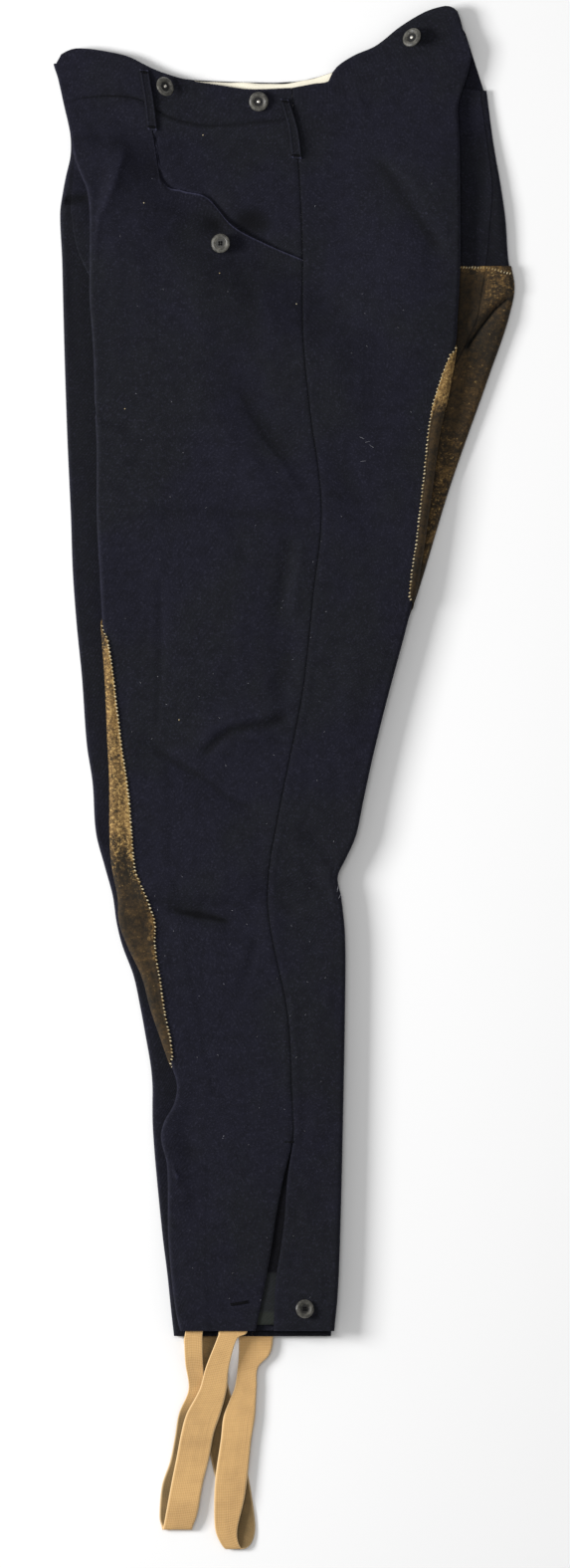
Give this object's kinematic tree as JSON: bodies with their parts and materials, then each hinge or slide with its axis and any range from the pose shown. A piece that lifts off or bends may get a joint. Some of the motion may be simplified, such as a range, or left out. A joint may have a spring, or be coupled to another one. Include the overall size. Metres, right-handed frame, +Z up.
{
  "type": "riding breeches",
  "caption": "Navy wool riding breeches laid flat on their right side, with a fishtail back, leather seat and knee strapping and tape foot loops.",
  "frame": {"origin": "centre of the footprint, on the surface that the garment lies on", "axes": "+Z up from the surface, +Y from the hem to the waist, +X from the front of the garment to its back"},
  "size_m": [0.3781, 1.2716, 0.0217],
  "materials": {
    "cloth": "dense navy wool twill with a faint nap",
    "leather": "worn brown suede, rubbed to tan at its edges",
    "lining": "plain cream cotton",
    "tape": "tan herringbone cotton tape",
    "horn": "dark polished horn"
  },
  "bodies": {
    "root": {"left_front": "cloth", "left_back": "cloth", "right_front": "cloth", "right_back": "cloth", "left_waistband": "cloth", "right_waistband": "cloth", "waist_lining": "lining", "left_pocket": "cloth", "left_underlap": "cloth", "left_seat_strapping": "leather", "left_knee_strapping": "leather", "right_seat_strapping": "leather", "right_knee_strapping": "leather", "belt_loop_front": "cloth", "belt_loop_rear": "cloth", "brace_button_front": "horn", "brace_button_side": "horn", "brace_button_back": "horn", "pocket_button": "horn", "calf_button": "horn", "left_stirrup_tape": "tape", "right_stirrup_tape": "tape"}
  },
  "joints": []
}
